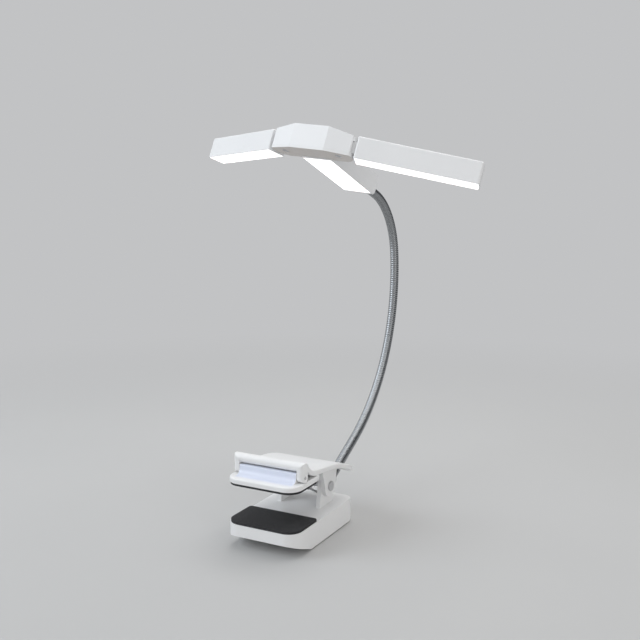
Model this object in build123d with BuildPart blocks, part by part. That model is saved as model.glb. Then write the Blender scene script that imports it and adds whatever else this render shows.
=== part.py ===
from build123d import *
from math import atan2, cos, degrees, pi, radians, sin, sqrt
import os

os.makedirs("parts", exist_ok=True)

# Frame: the origin is the centre of the fixed jaw's rubber face, +Z up, +X along the
# edge that the clip bites, +Y from the jaws to the finger end. All sizes are in mm.

# Clip
clip_width = 54.0
jaw_gap = 25.0
pad_length = 32.0
pad_thickness = 1.6
pad_inset = 0.5
front_corner = 10.0
rear_corner = 2.0
shoe_plate = 3.3
swivel_reach = 1.9
swivel_radius = 3.1
swivel_pin = 2.2
swivel_pin_sunk = 1.0
panel_width = 43.6
panel_slit = 0.7
panel_foot = 4.2
panel_brow = 1.0
joint_gap = 0.3
side_gap = 0.2
running_fit = 0.05

# Upper lever, one bent plate with a thick rolled nose and two ears in front, and two
# cheeks at the pivot
lever_sheet = 3.6
lever_nose = 3.15
lever_fall_radius = 5.0
lever_fall = 56.0
lever_sweep_radius = 16.0
lever_slope = 7.0
lever_run = 22.0
lever_tip_radius = 98.0
lever_tip_fall = 28.5
lever_tip_corner = 4.0
lever_nose_corner = 3.2
lever_edge = 0.8

# Main pivot and torsion spring
pivot_reach = 46.0
pivot_pin = 4.0
pivot_eye = 7.5
cheek_sheet = 3.0
cheek_flare = 3.0
cheek_lean = 6.0
cheek_rise = 13.0
cheek_fall = 5.0
inner_cheek_span = 34.0
rivet_head = 7.0
rivet_head_height = 1.0
wire = 1.5
coil_radius = 4.6
coil_turns = 4
coil_pitch = 2.6
spring_reach = 15.0

# Fixed jaw housing with the cell inside
housing_depth = 17.0
nose_depth = 8.0
housing_rear = 70.0
nose_run = 24.0
housing_wall = 2.4
rear_round = 8.0
housing_edge = 1.4
cover_sheet = 1.8
cover_lip = 2.0
fit_gap = 0.2
cell_length = 32.0
cell_width = 34.0
cell_height = 8.6
board_sheet = 1.2
charge_board_depth = 10.6
board_foot = 3.0
board_foot_inset = 2.0
socket_width = 9.0
socket_height = 3.2
socket_depth = 7.4
socket_sheet = 0.4
socket_back = 1.0
socket_tongue = 0.7
socket_tongue_width = 6.4
screw_shank = 2.0
screw_head = 3.6
screw_head_height = 1.0
screw_length = 7.0
screw_room = 1.0
screw_inset = 3.0
cover_margin = 3.0
cover_corner = 3.0

# Gooseneck, in the plane X = 0
neck_diameter = 7.0
neck_bore = 4.0
lead_diameter = 3.0
neck_root_y = 78.0
neck_root_z = -0.4
neck_lean = 27.5
neck_straight = 52.7
neck_lower_radius = 139.0
neck_lower_turn = 69.3
neck_upper_radius = 59.0
neck_upper_turn = 63.4
neck_top_straight = 27.4
neck_seat = 12.0
boss_diameter = 13.0
boss_length = 15.0
collar_diameter = 9.6
collar_length = 9.0
collar_seat = 3.0
collar_edge = 0.8

# Head: hub with the middle arm, and two folding side arms. Heights are counted up from
# the hub's underside.
head_roll = 6.3
hub_face = 26.8
hub_facet_back = 5.1
hub_facet_spread = 30.3
hub_height = 17.2
hub_end_height = 14.0
hub_cover_sheet = 2.4
hub_wall = 2.4
hub_edge = 0.8
hinge_back = 9.2
hinge_spread = 21.2
hub_end_radius = 10.0
knuckle_radius = 4.4
knuckle_height = 7.9
hinge_pin = 3.0
hinge_head = 4.6
hinge_head_height = 0.7
hinge_head_sunk = 0.4
hinge_pin_length = 11.9
arm_width = 14.5
arm_start = 11.0
arm_reach = 96.0
arm_top = 14.4
arm_far_corner = 2.0
arm_near_corner = 1.2
arm_edge = 1.0
arm_end_wall = 2.0
middle_width = 24.0
middle_top = 14.0
middle_reach = 91.0
middle_nose = 3.5
middle_heel = 4.5
light_start = 17.0
arm_axis_height = 7.0
wall = 1.3
roof = 1.8
lens_drop = 0.9
lens_sheet = 1.2
lens_rim = 0.7
lens_plug = 1.5
lens_gap = 0.1
led_level = 7.0
led_sheet = 1.0
led_ledge = 1.5
led_size = 2.8
led_height = 0.7
led_pitch = 7.0
left_fold = -65.0
right_fold = 72.0
fold_limit = 80.0
button_diameter = 6.4
button_spread = 12.4
button_proud = 0.8
button_flange = 8.2
button_flange_height = 1.0
button_foot = 3.4
button_clearance = 0.2
button_travel = 0.5
switch_body = 6.0
switch_height = 3.0
switch_stem = 3.0
switch_stem_height = 0.6
hub_board_top = 8.2
hub_board_depth = 12.0
hub_board_width = 24.0
hub_board_ledge = 1.4
post_diameter = 3.0
post_spread = 18.0

# Heights of the clip, from the fixed pad's face up
shoe_top = jaw_gap + pad_thickness + shoe_plate
swivel_height = shoe_top + joint_gap + swivel_radius
lever_top = swivel_height + swivel_radius + panel_slit + 2 * lever_nose
nose_height = lever_top - lever_nose
panel_front = -swivel_reach - swivel_radius
pivot_height = jaw_gap / 2
pad_front = -pad_length / 2
housing_top = -pad_thickness
housing_floor = housing_top - housing_depth
ear_width = (clip_width - panel_width) / 2 - joint_gap
ear_centre = (clip_width - ear_width) / 2


def pad_outline(inset):
    # Plan of a pad: wide round corners at the mouth, small ones at the back
    with BuildSketch() as outline:
        Rectangle(clip_width - 2 * inset, pad_length - 2 * inset)
        fillet(outline.vertices().group_by(Axis.Y)[0], front_corner - inset)
        fillet(outline.vertices().group_by(Axis.Y)[-1], rear_corner)
    return outline.sketch


# Rubber pads
with BuildPart() as lower_pad:
    with BuildSketch(Plane.XY.offset(housing_top)):
        add(pad_outline(pad_inset))
    extrude(amount=pad_thickness)
lower_pad.part.label = "lower_pad"
export_step(lower_pad.part, "parts/lower_pad.step")

with BuildPart() as upper_pad:
    with BuildSketch(Plane.XY.offset(jaw_gap)):
        add(pad_outline(pad_inset))
    extrude(amount=pad_thickness)
upper_pad.part.label = "upper_pad"
export_step(upper_pad.part, "parts/upper_pad.step")

# Upper shoe: plate with the long knuckle that shows as a panel between the lever's ears
with BuildPart() as upper_shoe:
    with BuildSketch(Plane.XY.offset(jaw_gap + pad_thickness)):
        add(pad_outline(0))
    extrude(amount=shoe_plate)
    fillet(upper_shoe.faces().sort_by(Axis.Z)[-1].edges(), shoe_plate / 3)
    with BuildSketch(Plane.YZ):
        with Locations((-swivel_reach, swivel_height)):
            Circle(swivel_radius)
            Rectangle(2 * swivel_radius, swivel_height - shoe_top + shoe_plate / 2,
                      align=(Align.CENTER, Align.MAX))
            Rectangle(swivel_radius, swivel_radius, align=(Align.MAX, Align.MIN))
    extrude(amount=panel_width / 2, both=True)
    panel_edges = upper_shoe.edges().filter_by(Axis.X)
    fillet(panel_edges.sort_by_distance((0, panel_front, shoe_top))[0], panel_foot)
    panel_edges = upper_shoe.edges().filter_by(Axis.X)
    fillet(panel_edges.sort_by_distance((0, panel_front, swivel_height + swivel_radius))[0], panel_brow)
    with Locations(Plane.YZ):
        with Locations((-swivel_reach, swivel_height)):
            Hole(swivel_pin / 2 + running_fit)
upper_shoe.part.label = "upper_shoe"
export_step(upper_shoe.part, "parts/upper_shoe.step")

with BuildPart() as swivel_pin_part:
    with BuildSketch(Plane.YZ):
        with Locations((-swivel_reach, swivel_height)):
            Circle(swivel_pin / 2)
    extrude(amount=clip_width / 2 - swivel_pin_sunk, both=True)
swivel_pin_part.part.label = "swivel_pin"
export_step(swivel_pin_part.part, "parts/swivel_pin.step")

# Upper lever: the rolled nose and the S-shaped plate behind it
cheek_outer = inner_cheek_span / 2 + side_gap + cheek_sheet
cheek_inner = inner_cheek_span / 2 + side_gap
with BuildPart() as nose_roll:
    with BuildSketch(Plane.YZ):
        with Locations((-swivel_reach, nose_height)):
            Circle(lever_nose)
    extrude(amount=clip_width / 2, both=True)
    fillet(nose_roll.edges().filter_by(GeomType.CIRCLE), lever_edge)

with BuildPart() as upper_lever:
    with BuildSketch(Plane.YZ):
        with BuildLine():
            fall = JernArc((-swivel_reach, lever_top), (1, 0), lever_fall_radius, -lever_fall)
            sweep_arc = JernArc(fall @ 1, fall % 1, lever_sweep_radius, lever_fall - lever_slope)
            run = Line(sweep_arc @ 1, sweep_arc @ 1 + (sweep_arc % 1) * lever_run)
            tip = JernArc(run @ 1, run % 1, lever_tip_radius, lever_slope - lever_tip_fall)
            offset(amount=lever_sheet, side=Side.RIGHT)
        make_face()
    extrude(amount=clip_width / 2, both=True)
    lever_end = upper_lever.faces().sort_by(Axis.Y)[-1]
    fillet(lever_end.edges().filter_by(lambda e: abs((e % 0.5).X) < 0.1), lever_tip_corner)
    lever_rim = upper_lever.edges().filter_by(lambda e: (e @ 0.5).Y > 0)
    fillet(lever_rim.filter_by(lambda e: abs((e @ 0.5).X) > clip_width / 2 - lever_tip_corner), lever_edge)
    add(nose_roll.part)
    with BuildSketch(Plane.YZ.offset(ear_centre), Plane.YZ.offset(-ear_centre)):
        with Locations((-swivel_reach, swivel_height)):
            Circle(swivel_radius)
            Rectangle(2 * swivel_radius, nose_height - swivel_height, align=(Align.CENTER, Align.MIN))
    extrude(amount=ear_width / 2, both=True)
    with BuildSketch() as lever_plan:
        with Locations((0, panel_front)):
            Rectangle(clip_width, housing_rear - panel_front, align=(Align.CENTER, Align.MIN))
        fillet(lever_plan.vertices().group_by(Axis.Y)[0], lever_nose_corner)
    extrude(amount=lever_top, mode=Mode.INTERSECT)
    cheek_mid = (cheek_outer + cheek_inner) / 2
    with BuildSketch(Plane.YZ.offset(cheek_mid), Plane.YZ.offset(-cheek_mid)):
        with Locations((pivot_reach, pivot_height)):
            Circle(pivot_eye)
        with BuildLine():
            Polyline((pivot_reach - pivot_eye, pivot_height), (pivot_reach + pivot_eye, pivot_height),
                     (pivot_reach + pivot_eye + cheek_flare, lever_top - cheek_rise - cheek_fall),
                     (pivot_reach - pivot_eye - cheek_lean, lever_top - cheek_rise), close=True)
        make_face()
    extrude(amount=cheek_sheet / 2, both=True)
    with Locations(Plane.YZ):
        with Locations((-swivel_reach, swivel_height)):
            Hole(swivel_pin / 2 + running_fit)
        with Locations((pivot_reach, pivot_height)):
            Hole(pivot_pin / 2 + running_fit)
upper_lever.part.label = "upper_lever"
export_step(upper_lever.part, "parts/upper_lever.step")

# Fixed jaw housing: tapered nose, inner cheeks for the pivot, boss for the gooseneck
neck_root = Plane(origin=(0, neck_root_y, neck_root_z), x_dir=(1, 0, 0),
                  z_dir=(0, cos(radians(neck_lean)), sin(radians(neck_lean))))
inner_cheek_mid = (inner_cheek_span - cheek_sheet) / 2
cover_front = pad_front + nose_run + cover_lip
cover_rear = housing_rear - cover_margin
cover_span = clip_width - 2 * cover_margin
cavity_front = cover_front + 2 * screw_inset
cavity_rear = cavity_front + charge_board_depth + cell_length + 3 * fit_gap
cavity_roof = housing_floor + cover_sheet + cell_height + fit_gap
cavity_span = cell_width + 2 * fit_gap
board_front = cavity_front + fit_gap
board_top = housing_floor + cover_sheet + cell_height / 2
board_left = -cover_span / 2 + cover_lip / 2
socket_y = board_front + charge_board_depth / 2
lead_tail = (neck_root_y - cavity_rear - lead_diameter / 2 * sin(radians(neck_lean))) / cos(
    radians(neck_lean)) - neck_seat
screw_spots = [(side * (cover_span / 2 - screw_inset), y)
               for side in (-1, 1)
               for y in (cover_front + screw_inset, cover_rear - screw_inset)]

with BuildPart() as base_housing:
    with BuildSketch(Plane.YZ):
        with BuildLine():
            Polyline((pad_front, housing_top), (housing_rear, housing_top), (housing_rear, housing_floor),
                     (pad_front + nose_run, housing_floor), (pad_front, housing_top - nose_depth), close=True)
        make_face()
    extrude(amount=clip_width / 2, both=True)
    fillet(base_housing.edges().filter_by(Axis.Z).group_by(Axis.Y)[0], front_corner)
    fillet(base_housing.edges().filter_by(Axis.Z).group_by(Axis.Y)[-1], rear_round)
    fillet(base_housing.faces().sort_by(Axis.Z)[0].edges(), housing_edge)
    with BuildSketch(Plane.YZ.offset(inner_cheek_mid), Plane.YZ.offset(-inner_cheek_mid)):
        with Locations((pivot_reach, pivot_height)):
            Circle(pivot_eye)
        with BuildLine():
            Polyline((pivot_reach - pivot_eye, pivot_height), (pivot_reach + pivot_eye, pivot_height),
                     (pivot_reach + pivot_eye + cheek_flare, housing_top - cover_sheet),
                     (pivot_reach - pivot_eye - cheek_flare, housing_top - cover_sheet), close=True)
        make_face()
    extrude(amount=cheek_sheet / 2, both=True)
    with BuildSketch(neck_root):
        Circle(boss_diameter / 2)
    extrude(amount=-boss_length)
    with BuildSketch(Plane.XY.offset(housing_floor)):
        with Locations((0, (cover_front + cover_rear) / 2)):
            RectangleRounded(cover_span, cover_rear - cover_front, cover_corner)
    extrude(amount=cover_sheet, mode=Mode.SUBTRACT)
    with BuildSketch(Plane.XY.offset(housing_floor)):
        with Locations((0, cavity_front)):
            Rectangle(cavity_span, cavity_rear - cavity_front, align=(Align.CENTER, Align.MIN))
        with Locations((board_left - fit_gap, cavity_front)):
            Rectangle(clip_width / 2, charge_board_depth + 2 * fit_gap, align=(Align.MIN, Align.MIN))
    extrude(amount=cavity_roof - housing_floor, mode=Mode.SUBTRACT)
    with BuildSketch(Plane.YZ.offset(-clip_width / 2)):
        with Locations((socket_y, board_top + socket_height / 2)):
            SlotOverall(socket_width + 2 * fit_gap, socket_height + 2 * fit_gap)
    extrude(amount=clip_width / 2 + board_left, mode=Mode.SUBTRACT)
    with Locations(Plane.XY.offset(housing_floor)):
        with Locations(*screw_spots):
            Hole(screw_shank / 2 - running_fit, depth=screw_length + screw_room)
    with BuildSketch(neck_root):
        Circle(neck_diameter / 2 + running_fit)
    extrude(amount=-neck_seat - running_fit, mode=Mode.SUBTRACT)
    with BuildSketch(neck_root):
        Circle(collar_diameter / 2 + running_fit)
    extrude(amount=-collar_seat, mode=Mode.SUBTRACT)
    with BuildSketch(neck_root):
        Circle(lead_diameter / 2 + side_gap)
    extrude(amount=-neck_seat - lead_tail - lead_diameter, mode=Mode.SUBTRACT)
    with Locations(Plane.YZ):
        with Locations((pivot_reach, pivot_height)):
            Hole(pivot_pin / 2 + running_fit)
base_housing.part.label = "base_housing"
export_step(base_housing.part, "parts/base_housing.step")

with BuildPart() as base_cover:
    with BuildSketch(Plane.XY.offset(housing_floor)):
        with Locations((0, (cover_front + cover_rear) / 2)):
            RectangleRounded(cover_span - joint_gap, cover_rear - cover_front - joint_gap, cover_corner)
    extrude(amount=cover_sheet)
    with Locations(Plane.XY.offset(housing_floor)):
        with Locations(*screw_spots):
            Hole(screw_shank / 2 + running_fit)
            Hole(screw_head / 2 + fit_gap, depth=screw_head_height)
base_cover.part.label = "base_cover"
export_step(base_cover.part, "parts/base_cover.step")

with BuildPart() as cover_screws:
    with BuildSketch(Plane.XY.offset(housing_floor)):
        with Locations(*screw_spots):
            Circle(screw_head / 2)
    extrude(amount=screw_head_height)
    with BuildSketch(Plane.XY.offset(housing_floor)):
        with Locations(*screw_spots):
            Circle(screw_shank / 2 - 2 * running_fit)
    extrude(amount=screw_length)
cover_screws.part.label = "cover_screws"
export_step(cover_screws.part, "parts/cover_screws.step")

with BuildPart() as battery_cell:
    with BuildSketch(Plane.XY.offset(housing_floor + cover_sheet)):
        with Locations((0, cavity_rear - fit_gap)):
            Rectangle(cell_width, cell_length, align=(Align.CENTER, Align.MAX))
    extrude(amount=cell_height)
    fillet(battery_cell.edges().filter_by(Axis.X), cell_height / 4)
battery_cell.part.label = "battery_cell"
export_step(battery_cell.part, "parts/battery_cell.step")

with BuildPart() as charge_board:
    with BuildSketch(Plane.XY.offset(board_top)):
        with Locations((board_left, board_front)):
            Rectangle(cavity_span / 2 - fit_gap - board_left, charge_board_depth, align=(Align.MIN, Align.MIN))
    extrude(amount=-board_sheet)
    with BuildSketch(Plane.XY.offset(board_top - board_sheet)):
        with Locations((board_left + board_foot, socket_y), (cavity_span / 2 - board_foot, socket_y)):
            Rectangle(board_foot, charge_board_depth - 2 * board_foot_inset)
    extrude(amount=housing_floor + cover_sheet - board_top + board_sheet)
charge_board.part.label = "charge_board"
export_step(charge_board.part, "parts/charge_board.step")

with BuildPart() as usb_socket:
    with BuildSketch(Plane.YZ.offset(-clip_width / 2 + fit_gap)):
        with Locations((socket_y, board_top + socket_height / 2)):
            SlotOverall(socket_width, socket_height)
    extrude(amount=socket_depth)
    with BuildSketch(Plane.YZ.offset(-clip_width / 2 + fit_gap)):
        with Locations((socket_y, board_top + socket_height / 2)):
            SlotOverall(socket_width - 2 * socket_sheet, socket_height - 2 * socket_sheet)
    extrude(amount=socket_depth - socket_back, mode=Mode.SUBTRACT)
    with BuildSketch(Plane.YZ.offset(-clip_width / 2 + socket_back)):
        with Locations((socket_y, board_top + socket_height / 2)):
            Rectangle(socket_tongue_width, socket_tongue)
    extrude(amount=socket_depth - socket_back)
usb_socket.part.label = "usb_socket"
export_step(usb_socket.part, "parts/usb_socket.step")

# Pivot pin with a rivet head outside each cheek
with BuildPart() as pivot_pin_part:
    with BuildSketch(Plane.YZ):
        with Locations((pivot_reach, pivot_height)):
            Circle(pivot_pin / 2)
    extrude(amount=cheek_outer + side_gap, both=True)
    for side in (-1, 1):
        with BuildSketch(Plane.YZ.offset(side * (cheek_outer + side_gap))):
            with Locations((pivot_reach, pivot_height)):
                Circle(rivet_head / 2)
        extrude(amount=side * rivet_head_height)
    fillet(pivot_pin_part.faces().sort_by(Axis.X)[-1].edges(), rivet_head_height / 2)
    fillet(pivot_pin_part.faces().sort_by(Axis.X)[0].edges(), rivet_head_height / 2)
pivot_pin_part.part.label = "pivot_pin"
export_step(pivot_pin_part.part, "parts/pivot_pin.step")

# Torsion spring round the pivot pin, one unbroken wire. Its two legs run to the finger
# end: the upper one under the lever, the lower one on the housing.
leg_top = degrees(atan2((tip @ 0.75).Y - lever_sheet - wire / 2 - joint_gap - pivot_height - coil_radius,
                        spring_reach))
leg_low = degrees(atan2(pivot_height - coil_radius - housing_top - wire / 2 - joint_gap, spring_reach))
start_angle = 90 + leg_top
end_angle = start_angle + 360 * coil_turns - (leg_top + 180 + leg_low) + 360
coil_span = coil_pitch * (end_angle - start_angle) / 360


def coil_point(angle):
    t = radians(angle)
    x = -coil_span / 2 + coil_span * (angle - start_angle) / (end_angle - start_angle)
    return Vector(x, pivot_reach + coil_radius * cos(t), pivot_height + coil_radius * sin(t))


def coil_tangent(angle):
    t = radians(angle)
    rise = coil_pitch / (2 * pi * coil_radius)
    return Vector(rise, -sin(t), cos(t)).normalized()


def biarc_joint(a, b, ta, tb):
    # The point where two arcs, tangent at both ends, meet
    chord = b - a
    both = ta + tb
    lead = chord.dot(both)
    spare = 2 * (1 - ta.dot(tb))
    reach = (-lead + sqrt(lead * lead + spare * chord.dot(chord))) / spare
    return (a + b + (ta - tb) * reach) / 2


quarter_steps = round((end_angle - start_angle) / 90)
coil_angles = [start_angle + (end_angle - start_angle) * i / quarter_steps for i in range(quarter_steps + 1)]
coil_points = [coil_point(a) for a in coil_angles]
coil_tangents = [coil_tangent(a) for a in coil_angles]
with BuildPart() as torsion_spring:
    with BuildLine() as spring_line:
        Line(coil_points[0] - coil_tangents[0] * spring_reach, coil_points[0])
        for a, b, ta, tb in zip(coil_points, coil_points[1:], coil_tangents, coil_tangents[1:]):
            joint = biarc_joint(a, b, ta, tb)
            first = TangentArc(a, joint, tangent=ta)
            TangentArc(joint, b, tangent=first % 1)
        Line(coil_points[-1], coil_points[-1] + coil_tangents[-1] * spring_reach)
    with BuildSketch(Plane(origin=spring_line.wire() @ 0, z_dir=spring_line.wire() % 0)):
        Circle(wire / 2)
    sweep()
torsion_spring.part.label = "torsion_spring"
export_step(torsion_spring.part, "parts/torsion_spring.step")
coil_samples = [coil_point(start_angle + i * 5) for i in range(int((end_angle - start_angle) / 5))]
least_gap = min((p - q).length for i, p in enumerate(coil_samples) for q in coil_samples[i + 40:]) - wire
print("spring: least gap to itself", round(least_gap, 2), "mm, volume",
      round(torsion_spring.part.volume, 1), "against",
      round(pi * wire * wire / 4 * spring_line.wire().length, 1))


# Gooseneck: straight out of the boss, two tangent arcs, straight into the head
def neck_line(start_offset, end_offset):
    # The same route, lengthened at its two straight ends
    with BuildLine(Plane.YZ) as route:
        lean = radians(neck_lean)
        back = start_offset + neck_seat
        first = Line((neck_root_y - back * cos(lean), neck_root_z - back * sin(lean)),
                     (neck_root_y + neck_straight * cos(lean), neck_root_z + neck_straight * sin(lean)))
        lower = JernArc(first @ 1, first % 1, neck_lower_radius, neck_lower_turn)
        upper = JernArc(lower @ 1, lower % 1, neck_upper_radius, neck_upper_turn)
        Line(upper @ 1, upper @ 1 + (upper % 1) * (neck_top_straight + end_offset))
    return route.wire()


neck_route = neck_line(0, 0)
with BuildPart() as gooseneck:
    with BuildLine():
        add(neck_route)
    with BuildSketch(Plane(origin=neck_route @ 0, z_dir=neck_route % 0)):
        Circle(neck_diameter / 2)
        Circle(neck_bore / 2, mode=Mode.SUBTRACT)
    sweep()
gooseneck.part.label = "gooseneck"
export_step(gooseneck.part, "parts/gooseneck.step")
print("gooseneck", round(neck_route.length), "mm long, radii", neck_lower_radius, neck_upper_radius,
      "volume", round(gooseneck.part.volume), "against",
      round(pi / 4 * (neck_diameter ** 2 - neck_bore ** 2) * neck_route.length))

# Head frame: origin under the hub's front face, x to the right, y along the middle arm
# towards the gooseneck, z up through the head
pitch = pi - radians(neck_lean + neck_lower_turn + neck_upper_turn)
roll = radians(head_roll)
head_x = Vector(cos(roll), -sin(roll) * sin(pitch), -sin(roll) * cos(pitch))
head_y = Vector(0, cos(pitch), -sin(pitch))
head_up = Vector(sin(roll), cos(roll) * sin(pitch), cos(roll) * cos(pitch))
head_origin = neck_route @ 1 - head_y * (middle_reach - collar_seat) - head_up * arm_axis_height
head = Plane(origin=head_origin, x_dir=head_x, z_dir=head_up)
along_head = Axis(head_origin, head_y)
up_head = Axis(head_origin, head_up)
neck_socket = Plane(origin=head_origin + head_y * middle_reach + head_up * arm_axis_height,
                    x_dir=head_x, z_dir=head_y)
print("head origin", head_origin, "pitch", round(degrees(pitch), 2))


def side_plane(side, fold):
    # Frame of a side arm: origin on its hinge, y along the arm
    turn = radians(fold)
    return Plane(origin=head_origin + head_x * side * hinge_spread + head_y * hinge_back,
                 x_dir=head_x * cos(turn) - head_y * sin(turn), z_dir=head_up)


# Collars where the gooseneck enters the boss and the head
for label, mouth in (("lower_collar", neck_root), ("upper_collar", neck_socket)):
    with BuildPart() as collar:
        with BuildSketch(mouth):
            Circle(collar_diameter / 2)
            Circle(neck_diameter / 2 + running_fit, mode=Mode.SUBTRACT)
        extrude(amount=collar_length)
        extrude(collar.faces().sort_by(Axis(mouth.origin, mouth.z_dir))[0], amount=collar_seat)
        rim = collar.edges().filter_by(GeomType.CIRCLE).sort_by(Axis(mouth.origin, mouth.z_dir))[-2:]
        fillet(rim.sort_by(SortBy.RADIUS)[-1], collar_edge)
    collar.part.label = label
    export_step(collar.part, f"parts/{label}.step")

# Levels and outlines of the head
hub_half = hinge_spread + hub_end_radius
hub_rear = hinge_back + hub_end_radius
knuckle_low = hub_cover_sheet + joint_gap
knuckle_top = knuckle_low + knuckle_height
slot_roof = knuckle_top + joint_gap
slot_radius = knuckle_radius + joint_gap
body_base = lens_sheet - lens_drop
light_end = middle_reach - middle_heel
hub_board_low = hub_board_top - board_sheet
hub_roof = hub_height - hub_wall
hub_cavity_depth = hub_board_depth + 2 * fit_gap
hub_cavity_middle = hub_wall + hub_cavity_depth / 2
button_spots = [(side * button_spread / 2, hub_cavity_middle) for side in (-1, 1)]
hinge_spots = [(side * hinge_spread, hinge_back) for side in (-1, 1)]
post_spots = [(side * post_spread / 2, hub_cavity_middle) for side in (-1, 1)]


def hub_plan():
    # Plan of the hub: flat face, two facets, ends round about the hinges
    facet_slope = hub_facet_back / (hub_facet_spread - hub_face / 2)
    past_end = hub_half + hub_wall
    with BuildSketch() as plan:
        with Locations((0, hub_rear / 2)):
            Rectangle(2 * hinge_spread, hub_rear)
        with Locations(*hinge_spots):
            Circle(hub_end_radius)
        for side in (-1, 1):
            with BuildLine():
                Polyline((side * hub_face / 2, 0),
                         (side * past_end, facet_slope * (past_end - hub_face / 2)),
                         (side * past_end, -hub_end_radius), (side * hub_face / 2, -hub_end_radius),
                         close=True)
            make_face(mode=Mode.SUBTRACT)
    return plan.sketch


def swing_plan():
    # Room for a knuckle and its neck from folded to fully open, seen from above
    with BuildSketch() as swing:
        with Locations(*hinge_spots):
            Circle(slot_radius)
        for side, spot in zip((-1, 1), hinge_spots):
            for fold in (0, fold_limit / 2, fold_limit):
                with Locations(Location(spot, -side * fold)):
                    Rectangle(2 * slot_radius, 2 * hub_end_radius, align=(Align.CENTER, Align.MIN))
    return swing.sketch


def lens_plan(width, start, end, corner, inset):
    # Plan of a diffuser, or of the rebate that holds it, inside the rim of its arm
    with BuildSketch() as plan:
        with Locations((0, start + inset)):
            Rectangle(width - 2 * inset, end - start - 2 * inset, align=(Align.CENTER, Align.MIN))
        if corner:
            fillet(plan.vertices().group_by(Axis.Y)[-1], corner - inset)
    return plan.sketch


with BuildPart() as head_housing:
    # Hub, with its roof sloping down to both ends
    with BuildSketch(Plane(origin=head_origin + head_y * hub_rear, x_dir=head_x, z_dir=-head_y)):
        with BuildLine():
            Polyline((-hub_half, hub_cover_sheet), (hub_half, hub_cover_sheet), (hub_half, hub_end_height),
                     (hub_face / 2, hub_height), (-hub_face / 2, hub_height), (-hub_half, hub_end_height),
                     close=True)
        make_face()
    extrude(amount=hub_rear)
    with BuildSketch(head):
        add(hub_plan())
    extrude(amount=hub_height, mode=Mode.INTERSECT)
    hub_top = head_housing.faces().sort_by(up_head)[-1]
    fillet(hub_top.edges().sort_by(along_head)[-1], hub_height - middle_top - hub_edge / 2)
    # Middle arm with its rounded nose
    with BuildSketch(head.offset(-lens_drop)):
        with Locations((0, light_start)):
            Rectangle(middle_width, middle_reach - light_start, align=(Align.CENTER, Align.MIN))
    extrude(amount=middle_top + lens_drop)
    nose_face = head_housing.faces().sort_by(along_head)[-1]
    fillet(nose_face.edges().filter_by(lambda e: abs((e % 0.5).dot(head_x)) > 0.9), middle_nose)
    # Hub chamber, stepped so that the board seats on a ledge
    with BuildSketch(head.offset(hub_cover_sheet)):
        with Locations((0, hub_cavity_middle)):
            Rectangle(hub_board_width + 2 * fit_gap, hub_cavity_depth)
    extrude(amount=hub_board_top - hub_cover_sheet, mode=Mode.SUBTRACT)
    with BuildSketch(head.offset(hub_board_top)):
        with Locations((0, hub_cavity_middle)):
            Rectangle(hub_board_width - 2 * hub_board_ledge, hub_cavity_depth)
    extrude(amount=hub_roof - hub_board_top, mode=Mode.SUBTRACT)
    with BuildSketch(head.offset(hub_roof)):
        with Locations(*button_spots):
            Circle(button_diameter / 2 + button_clearance)
    extrude(amount=hub_wall, mode=Mode.SUBTRACT)
    # Light chamber, stepped the same way, with a rebate for the diffuser inside a thin rim
    with BuildSketch(head.offset(-lens_drop)):
        add(lens_plan(middle_width, light_start, light_end, 0, lens_rim))
    extrude(amount=lens_sheet, mode=Mode.SUBTRACT)
    with BuildSketch(head.offset(body_base)):
        with Locations((0, light_start + wall)):
            Rectangle(middle_width - 2 * wall, light_end - light_start - 2 * wall,
                      align=(Align.CENTER, Align.MIN))
    extrude(amount=led_level - body_base, mode=Mode.SUBTRACT)
    with BuildSketch(head.offset(led_level)):
        with Locations((0, light_start + wall + led_ledge)):
            Rectangle(middle_width - 2 * wall - 2 * led_ledge,
                      light_end - light_start - 2 * wall - 2 * led_ledge, align=(Align.CENTER, Align.MIN))
    extrude(amount=middle_top - roof - led_level, mode=Mode.SUBTRACT)
    # Slots for the arms' knuckles and blind holes for the hinge screws
    with BuildSketch(head.offset(hub_cover_sheet)):
        add(swing_plan())
    extrude(amount=slot_roof - hub_cover_sheet, mode=Mode.SUBTRACT)
    with BuildSketch(head.offset(slot_roof)):
        with Locations(*hinge_spots):
            Circle(hinge_pin / 2 + running_fit)
    extrude(amount=hinge_head_sunk + hinge_head_height + hinge_pin_length + fit_gap - slot_roof,
            mode=Mode.SUBTRACT)
    with BuildSketch(neck_socket):
        Circle(collar_diameter / 2 + running_fit)
    extrude(amount=-collar_seat, mode=Mode.SUBTRACT)
    with BuildSketch(neck_socket):
        Circle(lead_diameter / 2 + side_gap)
    extrude(amount=light_end - middle_reach - wall, mode=Mode.SUBTRACT)
head_housing.part.label = "head_housing"
export_step(head_housing.part, "parts/head_housing.step")

with BuildPart() as hub_cover:
    with BuildSketch(head):
        add(hub_plan())
        with Locations((0, light_start - lens_gap)):
            Rectangle(middle_width + 2 * lens_gap, hub_rear, align=(Align.CENTER, Align.MIN),
                      mode=Mode.SUBTRACT)
    extrude(amount=hub_cover_sheet)
    with BuildSketch(head.offset(hub_cover_sheet)):
        with Locations(*post_spots):
            Circle(post_diameter / 2)
    extrude(amount=hub_board_low - hub_cover_sheet - running_fit)
    with BuildSketch(head):
        with Locations(*hinge_spots):
            Circle(hinge_pin / 2 + running_fit)
    extrude(amount=hub_cover_sheet, mode=Mode.SUBTRACT)
    with BuildSketch(head):
        with Locations(*hinge_spots):
            Circle(hinge_head / 2 + fit_gap)
    extrude(amount=hinge_head_sunk + hinge_head_height, mode=Mode.SUBTRACT)
hub_cover.part.label = "hub_cover"
export_step(hub_cover.part, "parts/hub_cover.step")

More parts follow.
